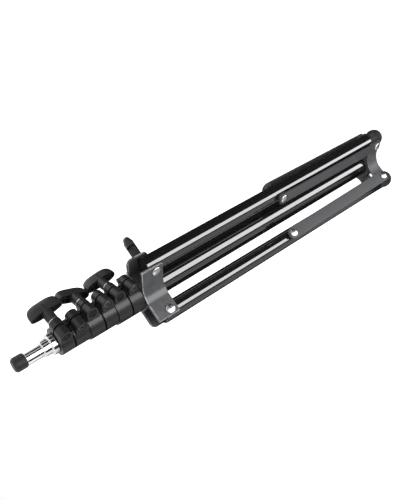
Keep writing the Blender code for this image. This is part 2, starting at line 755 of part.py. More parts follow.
# The yoke's lock: washer, screw with its tip short of the base tube, and T-handle
lock_place = along(lock_axis, lock_start)
washer_low = LOCK_BOSS_END + GAP
washer_high = washer_low + WASHER_THICKNESS
washer = tube(WASHER_RADIUS, LOCK_HOLE, washer_low, washer_high, 16)
add_object("yoke_washer", washer, bright_steel, lock_place)
screw_profile = [
    (0, washer_high + KNOB_SCREW_DEPTH),
    (LOCK_SHANK, washer_high + KNOB_SCREW_DEPTH),
    (LOCK_SHANK, BASE_RADIUS + 0.0024),
    (0.6 * LOCK_SHANK, BASE_RADIUS + 0.0008),
    (0, BASE_RADIUS + 0.0008),
]
add_object("yoke_lock_screw", turned(screw_profile, SMALL_ROUND), dark_steel, lock_place)
knob_place = (
    lock_place
    @ Matrix.Translation((0, 0, washer_high + GAP))
    @ Matrix.Rotation(LOCK_KNOB_TURN, 4, "Z")
)
t_handle("yoke_knob", knob_place, LOCK_HOLE)

# Spigot: a stem pressed in riser 3, flange, shoulder, stud and threaded tip
spigot_stem = RISER_RADII[2] - COLUMN_WALL - GAP
shoulder_top = FLANGE_HEIGHT + SHOULDER_HEIGHT
stud_top = shoulder_top + STUD_HEIGHT
tip_top = stud_top + TIP_HEIGHT
spigot_profile = [
    (0, tip_top),
    (TIP_RADIUS - EDGE, tip_top),
    (TIP_RADIUS, tip_top - EDGE),
    (TIP_RADIUS, stud_top),
    (STUD_RADIUS - EDGE, stud_top),
    (STUD_RADIUS, stud_top - EDGE),
    (STUD_RADIUS, shoulder_top + EDGE),
    (SHOULDER_RADIUS - EDGE, shoulder_top),
    (SHOULDER_RADIUS, shoulder_top - EDGE),
    (SHOULDER_RADIUS, FLANGE_HEIGHT),
    (FLANGE_RADIUS - EDGE, FLANGE_HEIGHT),
    (FLANGE_RADIUS, FLANGE_HEIGHT - EDGE),
    (FLANGE_RADIUS, GAP),
    (spigot_stem, GAP),
    (spigot_stem, -SPIGOT_STEM),
    (0, -SPIGOT_STEM),
]
spigot_place = Matrix.Translation((0, 0, SPIGOT_Z))
add_object("spigot", turned(spigot_profile, ROUND), bright_steel, spigot_place)

# Cap: a ribbed cup, slightly tapered, over the threaded tip
cap_low = SPIGOT_Z + stud_top + GAP


def ribbed_ring(radius, depth):
    """Points of a circle with square-topped ribs."""
    points = []
    for rib in range(CAP_RIBS):
        for part, inset in ((0.0, 0.0), (0.45, 0.0), (0.55, depth), (0.90, depth)):
            turn = math.tau * (rib + part) / CAP_RIBS
            points.append(((radius - inset) * math.cos(turn), (radius - inset) * math.sin(turn)))
    return points


cap_bm = bmesh.new()
cap_rings = [
    (CAP_RADIUS - 0.0008, 0.0, 0.0),
    (CAP_RADIUS, 0.0006, 0.0006),
    (CAP_RADIUS - 0.0004, 0.0006, CAP_HEIGHT - 0.0032),
    (CAP_RADIUS - 0.0012, 0.0, CAP_HEIGHT - 0.0020),
    (CAP_RADIUS - 0.0030, 0.0, CAP_HEIGHT),
]
cap_loops = [
    [cap_bm.verts.new((x, y, z)) for x, y in ribbed_ring(radius, depth)]
    for radius, depth, z in cap_rings
]
for lower, upper in zip(cap_loops, cap_loops[1:]):
    for index in range(len(lower)):
        after = (index + 1) % len(lower)
        cap_bm.faces.new((lower[index], lower[after], upper[after], upper[index]))
cap_bm.faces.new(cap_loops[0][::-1])
cap_bm.faces.new(cap_loops[-1])
cap_place = Matrix.Translation((0, 0, cap_low))
cap = add_object("thread_cap", cap_bm, matt_plastic, cap_place)
cut(cap, [(rod(TIP_RADIUS + GAP, -REACH, TIP_HEIGHT + EDGE), cap_place)])
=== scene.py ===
"""Dresses a folding light stand: its tubes, castings, clamps and fastenings."""
import json
import math

import bpy
from mathutils import Matrix, Quaternion, Vector


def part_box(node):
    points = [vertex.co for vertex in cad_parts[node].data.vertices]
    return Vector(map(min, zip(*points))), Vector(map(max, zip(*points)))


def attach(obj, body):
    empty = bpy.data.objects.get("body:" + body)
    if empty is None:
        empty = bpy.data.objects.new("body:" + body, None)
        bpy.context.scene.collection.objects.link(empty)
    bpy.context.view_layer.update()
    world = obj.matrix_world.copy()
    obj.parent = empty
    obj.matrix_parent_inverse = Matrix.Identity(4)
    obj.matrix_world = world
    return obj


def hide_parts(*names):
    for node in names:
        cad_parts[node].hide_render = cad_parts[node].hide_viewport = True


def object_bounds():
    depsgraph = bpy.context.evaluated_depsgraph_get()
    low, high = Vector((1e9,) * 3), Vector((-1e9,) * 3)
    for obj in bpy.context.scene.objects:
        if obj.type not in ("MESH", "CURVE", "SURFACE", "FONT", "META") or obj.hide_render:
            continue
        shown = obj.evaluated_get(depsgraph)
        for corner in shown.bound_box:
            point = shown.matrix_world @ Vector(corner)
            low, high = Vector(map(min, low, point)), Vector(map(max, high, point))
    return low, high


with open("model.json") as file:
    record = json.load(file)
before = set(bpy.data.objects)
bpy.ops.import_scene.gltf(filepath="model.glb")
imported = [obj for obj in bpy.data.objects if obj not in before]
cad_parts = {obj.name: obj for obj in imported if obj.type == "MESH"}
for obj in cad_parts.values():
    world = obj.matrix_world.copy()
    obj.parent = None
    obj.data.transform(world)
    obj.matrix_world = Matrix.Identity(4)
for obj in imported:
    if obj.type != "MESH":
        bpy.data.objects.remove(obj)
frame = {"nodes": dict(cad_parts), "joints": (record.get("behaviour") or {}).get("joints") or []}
cad_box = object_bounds()
bpy.ops.object.select_all(action="DESELECT")

# Column: four drawn aluminium tubes with a gloss black coat, each a sliding fit in the one
# outside it. They are sawn square and deburred, and the collars clamp on their upper ends.
TUBE_WALL = 0.0013
TUBE_STEPS = 96
TUBE_EDGE = 0.00025
DOUBLES = 0.000002
NEAR_DOUBLES = 0.00001
FLAT_WITHIN = math.radians(0.2)
COAT_BLACK = (0.0035, 0.0035, 0.0040)
RUBBED_BLACK = (0.012, 0.012, 0.013)


class Value:
    """A shader socket that takes part in sums as a number does; each sum adds its Math node."""

    def __init__(self, finish, socket):
        self.finish = finish
        self.socket = socket

    def math(self, operation, first, second):
        return self.finish.node("ShaderNodeMath", {"operation": operation}, [first, second])

    def __add__(self, other):
        return self.math("ADD", self, other)

    def __radd__(self, other):
        return self.math("ADD", other, self)

    def __sub__(self, other):
        return self.math("SUBTRACT", self, other)

    def __rsub__(self, other):
        return self.math("SUBTRACT", other, self)

    def __mul__(self, other):
        return self.math("MULTIPLY", self, other)

    def __rmul__(self, other):
        return self.math("MULTIPLY", other, self)


class Finish:
    """One material: fixed sockets are set as it is made, and the rest of it grows by node()."""

    def __init__(self, name, **fixed):
        self.material = bpy.data.materials.new(name)
        self.material.use_nodes = True
        self.tree = self.material.node_tree
        self.shader = self.tree.nodes["Principled BSDF"]
        for label, value in fixed.items():
            self.shader.inputs[label.replace("_", " ")].default_value = value
        self.place = self.node("ShaderNodeTexCoord", out="Object")

    def node(self, kind, settings=None, sockets=None, out=0):
        """Adds a node: its settings first, then the values or links of its sockets."""
        made = self.tree.nodes.new(kind)
        for label, value in (settings or {}).items():
            setattr(made, label, value)
        pairs = sockets.items() if isinstance(sockets, dict) else enumerate(sockets or [])
        for key, value in pairs:
            if isinstance(value, Value):
                self.tree.links.new(value.socket, made.inputs[key])
            else:
                made.inputs[key].default_value = value
        return Value(self, made.outputs[out])

    def noise(self, scale, detail=2.0, stretch=(1, 1, 1)):
        """Noise about 0.5; a stretch below 1 draws it out along that axis."""
        where = self.node("ShaderNodeMapping", {}, {"Vector": self.place, "Scale": stretch})
        sockets = {"Vector": where, "Scale": scale, "Detail": detail}
        return self.node("ShaderNodeTexNoise", {}, sockets)

    def window(self, value, low, high):
        """0 below low, 1 above high."""
        sockets = {"Value": value, "From Min": low, "From Max": high}
        return self.node("ShaderNodeMapRange", {"interpolation_type": "SMOOTHSTEP"}, sockets)

    def blend(self, factor, first, second):
        """A colour between two others."""
        sockets = {0: factor, 6: self.tone(first), 7: self.tone(second)}
        return self.node("ShaderNodeMix", {"data_type": "RGBA"}, sockets, out=2)

    def tone(self, color):
        return color if isinstance(color, Value) else (*color, 1.0)

    def feed(self, label, value):
        self.tree.links.new(value.socket, self.shader.inputs[label])

    def grain(self, height, depth, strength=1.0):
        """Raises the surface by a height from 0 to 1 times depth in metres."""
        sockets = {"Height": height, "Distance": depth, "Strength": strength}
        self.feed("Normal", self.node("ShaderNodeBump", {}, sockets))


def coat_finish():
    """Gloss black coat: a faint orange peel, and long hair scratches from sliding."""
    coat = Finish(
        "gloss_black_coat",
        Coat_Weight=1.0,
        Coat_IOR=2.1,
        Coat_Roughness=0.06,
        Specular_IOR_Level=0.05,
    )
    scratches = coat.noise(900, 3.0, (1, 1, 0.012))
    patches = coat.noise(38, 3.0, (1, 1, 0.35))
    rubbed = coat.window(scratches, 0.60, 0.74) * coat.window(patches, 0.50, 0.68)
    coat.feed("Base Color", coat.blend(rubbed, COAT_BLACK, RUBBED_BLACK))
    coat.feed("Roughness", 0.13 + patches * 0.10 + rubbed * 0.16)
    peel = coat.noise(520, 1.0)
    coat.grain(peel + rubbed * 0.4, 0.000012, 0.35)
    return coat


def held(item):
    """Makes one object the only one that operators act on."""
    bpy.ops.object.select_all(action="DESELECT")
    item.select_set(True)
    bpy.context.view_layer.objects.active = item


def begun(name, points, edges, faces):
    """A new object from a drawn line or outline, open in edit mode and all selected."""
    mesh = bpy.data.meshes.new(name)
    mesh.from_pydata(points, edges, faces)
    item = bpy.data.objects.new(name, mesh)
    bpy.context.collection.objects.link(item)
    held(item)
    bpy.ops.object.mode_set(mode="EDIT")
    bpy.ops.mesh.select_all(action="SELECT")
    return item


def closed():
    """Merges doubles, turns every face outward and leaves edit mode."""
    bpy.ops.mesh.select_all(action="SELECT")
    bpy.ops.mesh.remove_doubles(threshold=DOUBLES)
    bpy.ops.mesh.normals_make_consistent(inside=False)
    bpy.ops.object.mode_set(mode="OBJECT")


def turned(name, outline, steps=TUBE_STEPS, place=Matrix()):
    """Spins a drawn outline of (radius, height) points about Z, as on a lathe, and places it."""
    points = [(radius, 0, height) for radius, height in outline]
    edges = [(index, index + 1) for index in range(len(points) - 1)]
    item = begun(name, points, edges, [])
    bpy.ops.mesh.spin(steps=steps, angle=math.tau, center=(0, 0, 0), axis=(0, 0, 1))
    closed()
    item.data.transform(place)
    return item


def softened(item, width, segments=3, angle=32):
    """Breaks an item's sharp edges by a width and shades its curves smooth."""
    held(item)
    bpy.ops.object.mode_set(mode="EDIT")
    bpy.ops.mesh.select_all(action="SELECT")
    bpy.ops.mesh.remove_doubles(threshold=NEAR_DOUBLES)
    bpy.ops.mesh.dissolve_limited(angle_limit=FLAT_WITHIN)
    bpy.ops.object.mode_set(mode="OBJECT")
    edges = item.modifiers.new("edges", "BEVEL")
    edges.width = width
    edges.segments = segments
    edges.limit_method = "ANGLE"
    edges.angle_limit = math.radians(angle)
    bpy.ops.object.modifier_apply(modifier=edges.name)
    bpy.ops.object.shade_smooth_by_angle(angle=math.radians(angle + 8))
    # Flat faces keep their own shading right up to their rounded edges
    even = item.modifiers.new("even", "WEIGHTED_NORMAL")
    even.keep_sharp = True
    bpy.ops.object.modifier_apply(modifier=even.name)
    return item


def fitted(item, finish, slot, body, *nodes):
    """Gives a finished piece its material and its body, in place of its plain nodes. Its slot is
    not used.
    """
    item.data.materials.clear()
    item.data.materials.append(finish.material)
    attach(item, body)
    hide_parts(*nodes)
    return item


def ring_outline(outer, inner, low, high):
    return [(outer, high), (outer, low), (inner, low), (inner, high), (outer, high)]


gloss_coat = coat_finish()
for node, body in (
    ("base_tube", "column"),
    ("riser_1", "riser_1"),
    ("riser_2", "riser_2"),
    ("riser_3", "riser_3"),
):
    low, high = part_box(node)
    outline = ring_outline(high.x, high.x - TUBE_WALL, low.z, high.z)
    tube = softened(turned(f"{node}_drawn", outline), TUBE_EDGE, 2)
    fitted(tube, gloss_coat, "gloss_black", body, node)

# Foot plug and slide bushes: the plug is a black nylon cap knocked into the base tube's end,
# with a shallow dish under it. The bushes are natural nylon, pinched on the risers' feet.
MOULDED_BLACK = (0.010, 0.010, 0.011)
MOULDED_GREY = (0.022, 0.022, 0.024)
DISH_RADIUS = 0.0105
DISH_DEPTH = 0.0010
DISH_SLOPE = 0.0010
PLUG_GAP = 0.0003
PLUG_WALL = 0.0020
PLUG_FLOOR = 0.0006
PLUG_EDGE = 0.0005
NYLON_PALE = (0.58, 0.57, 0.52)
NYLON_WORN = (0.42, 0.41, 0.38)


def moulded_finish(name, dark, light, roughness):
    """Moulded black nylon: a fine spark-eroded grain, and paler where hands and flow leave it."""
    mould = Finish(name, IOR=1.46)
    cloud = mould.noise(120, 4.0)
    scuff = mould.window(mould.noise(750, 5.0), 0.56, 0.80)
    grain = mould.noise(2600, 3.0)
    mould.feed("Base Color", mould.blend(cloud * 0.55 + scuff * 0.35, dark, light))
    mould.feed("Roughness", roughness + cloud * 0.12 - scuff * 0.06)
    mould.grain(grain, 0.00006, 0.45)
    return mould


def nylon_finish():
    """Natural nylon: slightly yellow, with faint rings from sliding."""
    nylon = Finish("natural_nylon", IOR=1.53, Subsurface_Weight=0.15)
    rings = nylon.noise(700, 2.0, (0.05, 0.05, 1))
    worn = nylon.window(rings, 0.5, 0.7)
    nylon.feed("Base Color", nylon.blend(worn, NYLON_PALE, NYLON_WORN))
    nylon.feed("Roughness", 0.38 + rings * 0.2)
    nylon.grain(rings, 0.00004, 0.4)
    return nylon


moulded = moulded_finish("moulded_black", MOULDED_BLACK, MOULDED_GREY, 0.42)
low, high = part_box("column_plug")
flange_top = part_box("base_tube")[0].z - PLUG_GAP
stem = high.x - TUBE_WALL - PLUG_GAP
plug_outline = [
    (0, low.z + DISH_DEPTH),
    (DISH_RADIUS - DISH_SLOPE, low.z + DISH_DEPTH),
    (DISH_RADIUS, low.z),
    (high.x, low.z),
    (high.x, flange_top),
    (stem, flange_top),
    (stem, high.z),
    (stem - PLUG_WALL, high.z),
    (stem - PLUG_WALL, flange_top + PLUG_FLOOR),
    (0, flange_top + PLUG_FLOOR),
]
plug = softened(turned("column_plug_moulded", plug_outline), PLUG_EDGE)
fitted(plug, moulded, "matt_plastic", "column", "column_plug")

nylon = nylon_finish()
for number in (1, 2, 3):
    bush = frame["nodes"][f"bush_{number}"]
    for socket in bush.material_slots:
        socket.material = nylon.material

# Yoke and bracket: die-cast aluminium with a satin grey-black powder coat. Each holds a leg or
# a pair of braces between its cheeks; the yoke slides on the base tube, the bracket is pinned.
THIRD = math.radians(120)
CLEARANCE = 0.0003
SLOT_HALF = 0.0120
FORK_TIP = 0.0452
SLOT_FLOOR = 0.0212
WALL_NEAREST = 0.0211
CHEEK_ROUND = 0.0075
SQUARE_ROUND = 0.0012
CAST_EDGE = 0.0010
FORK_CORNER = 0.005
SAME_HEIGHT = 1e-6
SAME_PLACE = 1e-5
RIVET_HOLE = 0.0031
THROUGH = 0.05
YOKE_HALF = 0.0154
YOKE_BELOW = 0.0100
BRACKET_HALF = 0.0146
BOSS_RADIUS = 0.0080
BOSS_ROOT = 0.0127
BOSS_END = 0.0380
LOCK_HOLE = 0.0034
CASTING_GREY = (0.021, 0.022, 0.024)
CASTING_WORN = (0.085, 0.086, 0.090)
# Painted highlight: the castings' top rims and fork tips are painted pale, in patches as edge
# wear
RIM_HIGHLIGHT_PAINT = (0.42, 0.42, 0.43)
RIM_HIGHLIGHT_BAND = 0.0017
RIM_TURN = 0.0003
TIP_HIGHLIGHT_REACH = 0.0467
TIP_FADE = 0.0008
joints = {joint["name"]: joint for joint in frame["joints"]}
foot_pivot = Vector(joints["base_fold"]["pos_m"])
elbow = Vector(joints["leg_1_on_brace"]["pos_m"])
head_pivot = Vector(joints["yoke_on_leg_1"]["pos_m"])
bore_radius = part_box("base_tube")[1].x + CLEARANCE


def about(number):
    """The turn from leg 1 to another leg."""
    return Matrix.Rotation(THIRD * (number - 1), 4, "Z")


def along(axis, centre=(0, 0, 0)):
    """A placement whose own +Z lies along an axis."""
    turn = Vector(axis).to_track_quat("Z", "Y").to_matrix().to_4x4()
    return Matrix.Translation(centre) @ turn


def hinged(start, end):
    """A placement at one of leg 1's pivots: +Z toward another pivot, Y along their axis."""
    reach = end - start
    return Matrix.Translation(start) @ Matrix.Rotation(math.atan2(reach.x, reach.z), 4, "Y")


def bend(centre, radius, start, end, steps):
    """Points along an arc, both ends included."""
    angles = [start + (end - start) * step / steps for step in range(steps + 1)]
    return [(centre[0] + radius * math.cos(a), centre[1] + radius * math.sin(a)) for a in angles]


def drawn(name, outline, low, high, place=Matrix()):
    """Extrudes an outline of (x, y) points from low to high and places it."""
    item = begun(name, [(x, y, low) for x, y in outline], [], [list(range(len(outline)))])
    bpy.ops.mesh.extrude_region_move(TRANSFORM_OT_translate={"value": (0, 0, high - low)})
    closed()
    item.data.transform(place)
    return item


def worked(item, tool, operation="DIFFERENCE"):
    """Cuts a tool out of an item, or joins it on, and takes the tool away."""
    held(item)
    boolean = item.modifiers.new("work", "BOOLEAN")
    boolean.object = tool
    boolean.operation = operation
    boolean.solver = "EXACT"
    bpy.ops.object.modifier_apply(modifier=boolean.name)
    bpy.data.objects.remove(tool, do_unlink=True)
    return item


def bar(radius, low, high, place=Matrix(), steps=48):
    outline = [(0, high), (radius, high), (radius, low), (0, low)]
    return turned("tool", outline, steps, place)


def casting_outline(half_width):
    """Plan of a casting: a fork over each leg, with hollow walls between the forks."""
    sixty = math.radians(60)
    reach = (WALL_NEAREST - half_width) / (1 - math.sin(sixty))
    points = []
    for number in (1, 2, 3):
        turn = about(number).to_3x3()
        fork = [
            (FORK_TIP, -half_width),
            (FORK_TIP, -SLOT_HALF),
            (SLOT_FLOOR, -SLOT_HALF),
            (SLOT_FLOOR, SLOT_HALF),
            (FORK_TIP, SLOT_HALF),
            (FORK_TIP, half_width),
        ]
        points += [tuple((turn @ Vector((x, y, 0))).xy) for x, y in fork]
        middle = THIRD * (number - 1) + sixty
        centre = (reach * math.cos(middle), reach * math.sin(middle))
        facing = middle + math.pi
        spread = math.radians(30)
        points += bend(centre, reach - WALL_NEAREST, facing + spread, facing - spread, 28)
    return points


def rounded_cheeks(item, height, half_width):
    """Rounds the cheeks' corners at a height. The front wall's stay nearly square."""
    for front, radius, steps in ((False, CHEEK_ROUND, 10), (True, SQUARE_ROUND, 3)):
        held(item)
        mesh = item.data
        for part in (*mesh.vertices, *mesh.edges, *mesh.polygons):
            part.select = False
        for edge in mesh.edges:
            ends = [mesh.vertices[index].co for index in edge.vertices]
            if any(abs(end.z - height) > SAME_HEIGHT for end in ends):
                continue
            middle = (ends[0] + ends[1]) / 2
            for number in (1, 2, 3):
                local = about(number).inverted() @ middle
                short = (ends[0] - ends[1]).length < FORK_CORNER
                tip = short and abs(local.x - FORK_TIP) < SAME_PLACE
                if not tip or abs(local.y) < SLOT_HALF:
                    continue
                at_front = (number, local.y > 0) in ((1, False), (3, True))
                if at_front == front:
                    edge.select = True
                    for index in edge.vertices:
                        mesh.vertices[index].select = True
        bpy.context.tool_settings.mesh_select_mode = (False, True, False)
        bpy.ops.object.mode_set(mode="EDIT")
        bpy.ops.mesh.bevel(offset=radius, segments=steps, affect="EDGES")
        bpy.ops.object.mode_set(mode="OBJECT")


def cast(name, half_width, low, high, both_ends):
    """A casting's body, before it is bored and drilled."""
    item = drawn(name, casting_outline(half_width), low, high)
    rounded_cheeks(item, high, half_width)
    if both_ends:
        rounded_cheeks(item, low, half_width)
    return item


def drilled(item, pivot_z):
    """Bores a casting for the tube and drills it for its rivets."""
    worked(item, bar(bore_radius, -1, 1, steps=TUBE_STEPS))
    for number in (1, 2, 3):
        place = about(number) @ along((0, 1, 0), (foot_pivot.x, 0, pivot_z))
        worked(item, bar(RIVET_HOLE, -THROUGH, THROUGH, place, 32))
    return item


def casting_finish(name, high, sheen, highlight_and_wear):
    """Powder coat: a fine even texture, greyer where thin, with a painted highlight along the top
    rims and fork tips, broken in patches as edge wear.
    """
    powder = Finish(name, IOR=1.5, Coat_Weight=sheen, Coat_Roughness=0.20)
    cloud = powder.noise(90, 3.0)
    texture = powder.noise(1500, 2.0)
    chips = powder.window(powder.noise(420, 6.0), 0.66, 0.74)
    height = powder.node("ShaderNodeSeparateXYZ", {}, [powder.place], out="Z")
    near_high = powder.window(height, high - RIM_HIGHLIGHT_BAND, high - RIM_HIGHLIGHT_BAND / 2)
    past_high = powder.window(height, high - RIM_TURN, high)
    vector = "ShaderNodeVectorMath"
    flat = powder.node(vector, {"operation": "MULTIPLY"}, [powder.place, (1, 1, 0)])
    radius = powder.node(vector, {"operation": "LENGTH"}, [flat], out="Value")
    tip_highlight = powder.window(radius, TIP_HIGHLIGHT_REACH, TIP_HIGHLIGHT_REACH + TIP_FADE)
    patchy = powder.window(powder.noise(300, 3.0), 0.30, 0.55)
    # Painted highlight with some edge wear: a pale band just under the top rim and at the fork
    # tips, in patches
    rim_highlight_and_wear = (near_high - past_high + tip_highlight) * patchy * highlight_and_wear
    tone = powder.blend(cloud * 0.5 + chips * 0.25, CASTING_GREY, CASTING_WORN)
    powder.feed("Base Color", powder.blend(rim_highlight_and_wear, tone, RIM_HIGHLIGHT_PAINT))
    powder.feed("Roughness", 0.50 - sheen * 0.35 + cloud * 0.12)
    powder.grain(texture, 0.00005, 0.4)
    return powder


yoke_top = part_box("yoke")[1].z
lock = joints["yoke_lock_turn"]
lock_line = along(lock["axis"], (0, 0, lock["pos_m"][2]))
yoke_low = head_pivot.z - YOKE_BELOW
yoke = cast("yoke_cast", YOKE_HALF, yoke_low, yoke_top, True)
worked(yoke, bar(BOSS_RADIUS, BOSS_ROOT, BOSS_END, lock_line, 64), "UNION")
worked(yoke, bar(LOCK_HOLE, bore_radius / 2, 2 * BOSS_END, lock_line, 32))
drilled(yoke, head_pivot.z)
softened(yoke, CAST_EDGE, 4)
yoke_coat = casting_finish("yoke_powder_coat", yoke_top, sheen=0.45, highlight_and_wear=0.55)
fitted(yoke, yoke_coat, "satin_casting", "yoke", "yoke")

low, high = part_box("bracket")
bracket = cast("bracket_cast", BRACKET_HALF, low.z, high.z, False)
drilled(bracket, foot_pivot.z)
softened(bracket, CAST_EDGE, 4)
bracket_coat = casting_finish("bracket_powder_coat", high.z, sheen=0.10, highlight_and_wear=0.15)
fitted(bracket, bracket_coat, "satin_casting", "column", "bracket")

# Legs: three drawn tubes with the column's gloss coat, plugged where they hang on the yoke's
# rivets, and shod in moulded rubber feet with a stem up the tube.
LEG_RADIUS = 0.0113
LEG_WALL = 0.0012
RUBBER_DARK = (0.008, 0.008, 0.009)
RUBBER_DUSTY = (0.022, 0.022, 0.022)
LEG_TOP = 0.0070
STOPPER_LONG = 0.0180
STOPPER_SUNK = 0.0008
STOPPER_EDGE = 0.0006
FOOT_STEM = 0.0140
FOOT_EDGE = 0.0004
FOOT_STEPS = 14
SLEEVE_RADIUS = 0.0116
FLARE_RADIUS = 0.0132
END_FLAT = 0.46 * FLARE_RADIUS
END_RISE = 0.0110
link = (elbow - head_pivot).length
leg_frame = hinged(head_pivot, head_pivot + (head_pivot - elbow))
leg_end = -2 * link + 0.0075
sleeve_low = -2 * link - 0.0112
foot_end = -2 * link - 0.0250


def rubber_finish():
    """Rubber: dull, dusty in patches, with a soft grain."""
    rubber = Finish("foot_rubber", IOR=1.45, Specular_IOR_Level=0.2)
    dust = rubber.window(rubber.noise(160, 5.0), 0.42, 0.70)
    pits = rubber.noise(1400, 3.0)
    rubber.feed("Base Color", rubber.blend(dust, RUBBER_DARK, RUBBER_DUSTY))
    rubber.feed("Roughness", 0.52 + dust * 0.22)
    rubber.grain(pits, 0.00008, 0.4)
    return rubber


def copied(item, name, place):
    """A copy of a finished item, with its own mesh moved by a placement."""
    twin = bpy.data.objects.new(name, item.data.copy())
    bpy.context.collection.objects.link(twin)
    twin.data.transform(place)
    return twin


def for_each_leg(first, stem, finish, slot, bodies):
    """Fits a piece made for leg 1 and its copies for the other legs."""
    items = [first] + [copied(first, "copy", about(number)) for number in (2, 3)]
    for number, item in enumerate(items, 1):
        node = stem.format(number)
        item.name = f"{node}_fitted"
        fitted(item, finish, slot, bodies.format(number), node)


foot_rubber = rubber_finish()
leg_outline = ring_outline(LEG_RADIUS, LEG_RADIUS - LEG_WALL, leg_end, LEG_TOP)
leg = turned("leg", leg_outline, 80, leg_frame)
for height in (0, -link):
    place = leg_frame @ along((0, 1, 0), (0, 0, height))
    worked(leg, bar(RIVET_HOLE, -THROUGH, THROUGH, place, 32))
softened(leg, TUBE_EDGE, 2)
for_each_leg(leg, "leg_tube_{}", gloss_coat, "gloss_black", "leg_{}")

inside = LEG_RADIUS - LEG_WALL - CLEARANCE
stopper = bar(inside, -STOPPER_LONG, LEG_TOP - STOPPER_SUNK, leg_frame, 64)
worked(stopper, bar(RIVET_HOLE, -THROUGH, THROUGH, leg_frame @ along((0, 1, 0)), 32))
softened(stopper, STOPPER_EDGE)
for_each_leg(stopper, "leg_plug_{}", moulded, "matt_plastic", "leg_{}")

foot_outline = [
    (0, leg_end + FOOT_STEM),
    (inside, leg_end + FOOT_STEM),
    (inside, leg_end - CLEARANCE),
    (SLEEVE_RADIUS, leg_end - CLEARANCE),
    (SLEEVE_RADIUS, sleeve_low + 0.0006),
    (FLARE_RADIUS - 0.0005, sleeve_low - 0.0002),
    (FLARE_RADIUS, sleeve_low - 0.0010),
]
for step in range(FOOT_STEPS + 1):
    turn = math.radians(90) * step / FOOT_STEPS
    across = END_FLAT + (FLARE_RADIUS - END_FLAT) * math.cos(turn)
    foot_outline.append((across, foot_end + END_RISE * (1 - math.sin(turn))))
foot_outline.append((0, foot_end))
shoe = softened(turned("shoe", foot_outline, 80, leg_frame), FOOT_EDGE, 2)
for_each_leg(shoe, "foot_{}", foot_rubber, "rubber", "leg_{}")

# Braces: six flat aluminium bars, blanked with full round ends and pressed out to a pad where
# they meet the leg, with a semi-gloss coat over the rolling grain.
BRACE_HALF = 0.0086
BRACE_THICK = 0.0020
BRACE_EDGE = 0.0004
PAD_RADIUS = 0.0078
PAD_FOOT = 0.0006
PAD_SLOPE = 0.0008
BRACE_DARK = (0.024, 0.025, 0.027)
BRACE_PALE = (0.042, 0.043, 0.046)
brace_near = BRACKET_HALF + CLEARANCE
brace_far = brace_near + BRACE_THICK
brace_frame = hinged(foot_pivot, elbow)


def brace_finish():
    """Thin coat over rolled bar: a fine lengthwise grain shows through it."""
    paint = Finish("brace_coat", IOR=1.5, Coat_Weight=0.35, Coat_Roughness=0.16)
    grain = paint.noise(1100, 2.0, (1, 1, 0.03))
    cloud = paint.noise(60, 3.0)
    paint.feed("Base Color", paint.blend(cloud * 0.4 + grain * 0.4, BRACE_DARK, BRACE_PALE))
    paint.feed("Roughness", 0.28 + grain * 0.10 + cloud * 0.06)
    paint.grain(grain, 0.00002, 0.4)
    return paint


def brace_side(side):
    """A brace on one side of leg 1, with its pad and its two holes."""
    outline = bend((0, 0), BRACE_HALF, math.pi, math.tau, 24)
    outline += bend((0, link), BRACE_HALF, 0, math.pi, 24)
    # Drawn with x outward and y up the brace, then stood up beside the leg
    upright = Matrix(((1, 0, 0, 0), (0, 0, side, 0), (0, 1, 0, 0), (0, 0, 0, 1)))
    item = drawn("brace", outline, brace_near, brace_far, brace_frame @ upright)
    held(item)
    bpy.ops.object.mode_set(mode="EDIT")
    closed()
    pad_low = LEG_RADIUS + CLEARANCE
    pad_high = brace_near + PAD_SLOPE
    pad = [
        (0, pad_high),
        (PAD_RADIUS + PAD_FOOT, pad_high),
        (PAD_RADIUS - PAD_SLOPE, pad_low),
        (0, pad_low),
    ]
    pad_place = brace_frame @ along((0, side, 0), (0, 0, link))
    worked(item, turned("tool", pad, 64, pad_place), "UNION")
    for height in (0, link):
        place = brace_frame @ along((0, 1, 0), (0, 0, height))
        worked(item, bar(RIVET_HOLE, -THROUGH, THROUGH, place, 32))
    return softened(item, BRACE_EDGE, 2)


brace_coat = brace_finish()
for side, label in ((-1, "right"), (1, "left")):
    stem = "brace_{}_" + label
    for_each_leg(brace_side(side), stem, brace_coat, "brace_paint", "brace_{}")

# Rivets: bright nickel-plated steel, with a low domed head formed over each cheek or brace. The
# yoke's and the legs' pass right through; the bracket's are short, one for each brace.
RIVET_SHANK = 0.0028
HEAD_RADIUS = 0.0062
HEAD_HEIGHT = 0.0024
HEAD_LIP = 0.28
HEAD_STEPS = 10
RIVET_EDGE = 0.00015
BRIGHT = (0.66, 0.66, 0.68)
BRIGHT_DULL = (0.44, 0.44, 0.47)


def bright_finish():
    """Plated steel: fine tool marks and dull fingerprints."""
    bright = Finish("bright_plating", Metallic=1.0)
    marks = bright.noise(1900, 2.0)
    prints = bright.window(bright.noise(260, 4.0), 0.50, 0.72)
    bright.feed("Base Color", bright.blend(prints * 0.6, BRIGHT, BRIGHT_DULL))
    bright.feed("Roughness", 0.20 + prints * 0.12 + marks * 0.06)
    bright.grain(marks, 0.00001, 0.3)
    return bright


def rivet_head(seat):
    """A head's outline from its rim to its crown, above a seat."""
    outline = [(RIVET_SHANK, seat), (HEAD_RADIUS, seat)]
    for step in range(HEAD_STEPS + 1):
        turn = math.radians(90) * step / HEAD_STEPS
        rise = HEAD_LIP + (1 - HEAD_LIP) * math.sin(turn)
        outline.append((HEAD_RADIUS * math.cos(turn), seat + rise * HEAD_HEIGHT))
    return outline


def through_rivet(face, centre):
    """A rivet with a head on both sides, along Y through leg 1's fork or leg."""
    half = rivet_head(face + CLEARANCE)
    below = [(radius, -height) for radius, height in half]
    rivet = turned("rivet", half[::-1] + below, 48, along((0, 1, 0), centre))
    return softened(rivet, RIVET_EDGE, 2)


